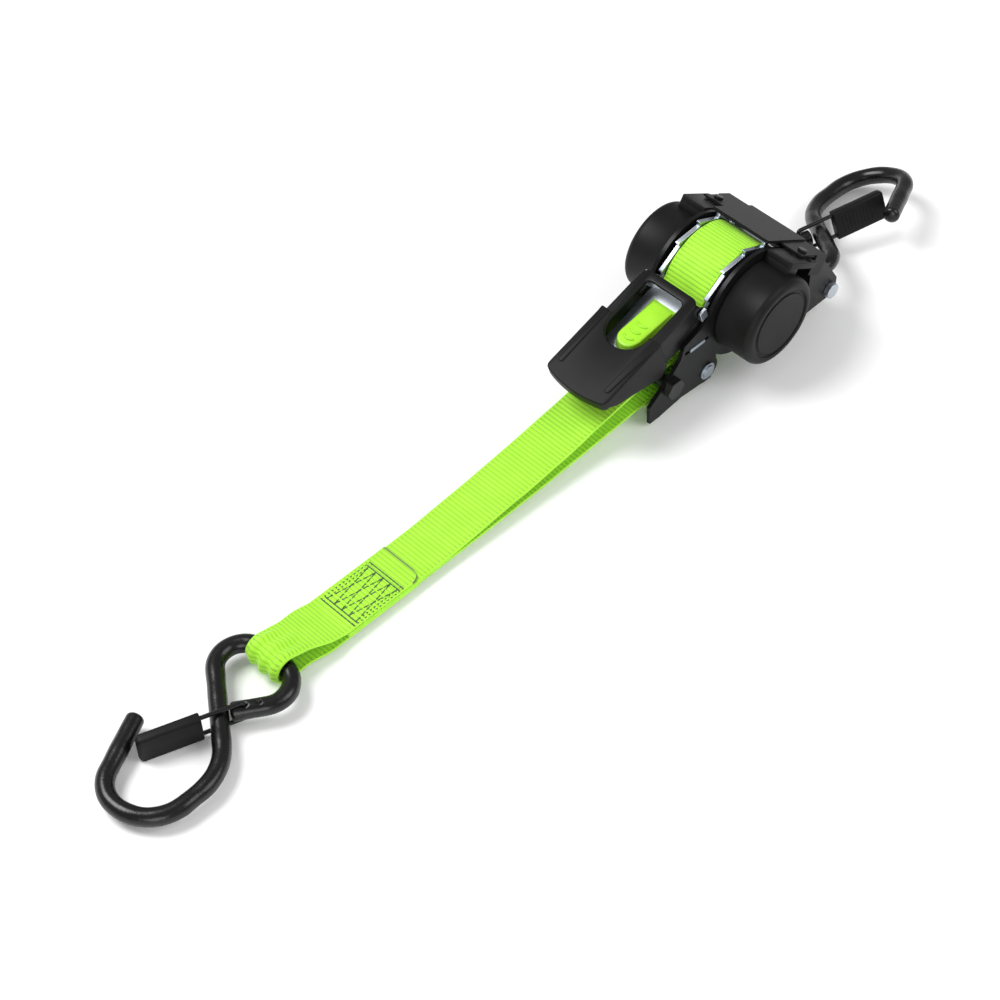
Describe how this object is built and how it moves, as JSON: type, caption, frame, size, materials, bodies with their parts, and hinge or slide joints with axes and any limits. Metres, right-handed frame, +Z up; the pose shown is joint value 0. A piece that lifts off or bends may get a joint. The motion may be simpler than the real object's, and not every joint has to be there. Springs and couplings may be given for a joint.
{
  "type": "ratchet strap",
  "caption": "Short self-retracting ratchet strap: webbing on a sprung drum, a lever handle with a release button, and an S-hook with a spring keeper at each end.",
  "frame": {"origin": "middle of the footprint, on the ground the strap lies on", "axes": "+X along the strap towards the rear hook, +Y across it to the left, +Z up"},
  "size_m": [0.5254, 0.0796, 0.066],
  "materials": {
    "black_steel": "satin black paint",
    "black_plastic": "matte moulded black plastic",
    "coated_rod": "black vinyl dip over steel wire",
    "keeper_wire": "black coated spring wire",
    "zinc_steel": "bright zinc plate",
    "black_bolt": "black oxide",
    "spring_steel": "plain spring steel",
    "webbing": "neon yellow-green woven polyester",
    "lime_plastic": "lime moulded plastic"
  },
  "bodies": {
    "frame": {"frame_plate_left": "black_steel", "frame_plate_right": "black_steel", "rear_cover": "black_plastic", "hook_pin": "zinc_steel", "pin_rings": "zinc_steel", "guide_bolt": "black_bolt", "guide_nut": "black_bolt", "anchor_rivet": "zinc_steel", "housing_left": "black_plastic", "housing_right": "black_plastic", "housing_screws": "black_bolt", "spring_left": "spring_steel", "spring_right": "spring_steel", "upper_leg": "webbing", "lower_leg": "webbing", "hook_loop": "webbing"},
    "drum": {"drum_axle": "zinc_steel", "ratchet_wheel_left": "zinc_steel", "ratchet_wheel_right": "zinc_steel", "webbing_coil": "webbing"},
    "handle": {"handle_frame": "black_steel", "handle_grip": "black_plastic"},
    "handle_pawl": {"handle_pawl": "zinc_steel", "release_button": "lime_plastic", "pawl_spring": "spring_steel"},
    "frame_pawl": {"frame_pawl": "zinc_steel", "frame_pawl_spring": "spring_steel"},
    "front_hook": {"front_hook": "coated_rod"},
    "front_keeper": {"front_keeper_wire": "keeper_wire", "front_keeper_sleeve": "black_plastic"},
    "rear_hook": {"rear_hook": "coated_rod"},
    "rear_keeper": {"rear_keeper_wire": "keeper_wire", "rear_keeper_sleeve": "black_plastic"}
  },
  "joints": [
    {"name": "drum_spin", "type": "hinge", "parent": "frame", "child": "drum", "pos_m": [0.12073, 0, 0.0341], "axis": [0, 1, 0], "continuous": true},
    {"name": "handle_pivot", "type": "hinge", "parent": "frame", "child": "handle", "pos_m": [0.12073, 0, 0.0341], "axis": [0, 1, 0], "range_deg": [0, 80]},
    {"name": "handle_pawl_slide", "type": "slide", "parent": "handle", "child": "handle_pawl", "axis": [-0.9521, 0, -0.3057], "range_m": [0, 0.0045], "stiffness_N_per_m": 600, "springref_m": -0.002},
    {"name": "frame_pawl_slide", "type": "slide", "parent": "frame", "child": "frame_pawl", "axis": [-1, 0, 0], "range_m": [0, 0.003], "stiffness_N_per_m": 600, "springref_m": -0.002},
    {"name": "front_hook_swing", "type": "hinge", "parent": "frame", "child": "front_hook", "pos_m": [-0.16307, -0.0009, 0.0073], "axis": [0, 1, 0], "range_deg": [-45, 60]},
    {"name": "front_keeper_pivot", "type": "hinge", "parent": "front_hook", "child": "front_keeper", "pos_m": [-0.18965, -0.01204, 0.00649], "axis": [-0.0305, 0, 0.9995], "range_deg": [0, 15], "stiffness_Nm_per_rad": 0.05, "springref_deg": -17.19},
    {"name": "rear_hook_swing", "type": "hinge", "parent": "frame", "child": "rear_hook", "pos_m": [0.17023, 0, 0.0158], "axis": [0, 1, 0], "range_deg": [-60, 20]},
    {"name": "rear_keeper_pivot", "type": "hinge", "parent": "rear_hook", "child": "rear_keeper", "pos_m": [0.18961, 0.00437, 0.01127], "axis": [0, 0.4067, 0.9135], "range_deg": [0, 15], "stiffness_Nm_per_rad": 0.05, "springref_deg": -17.19}
  ]
}
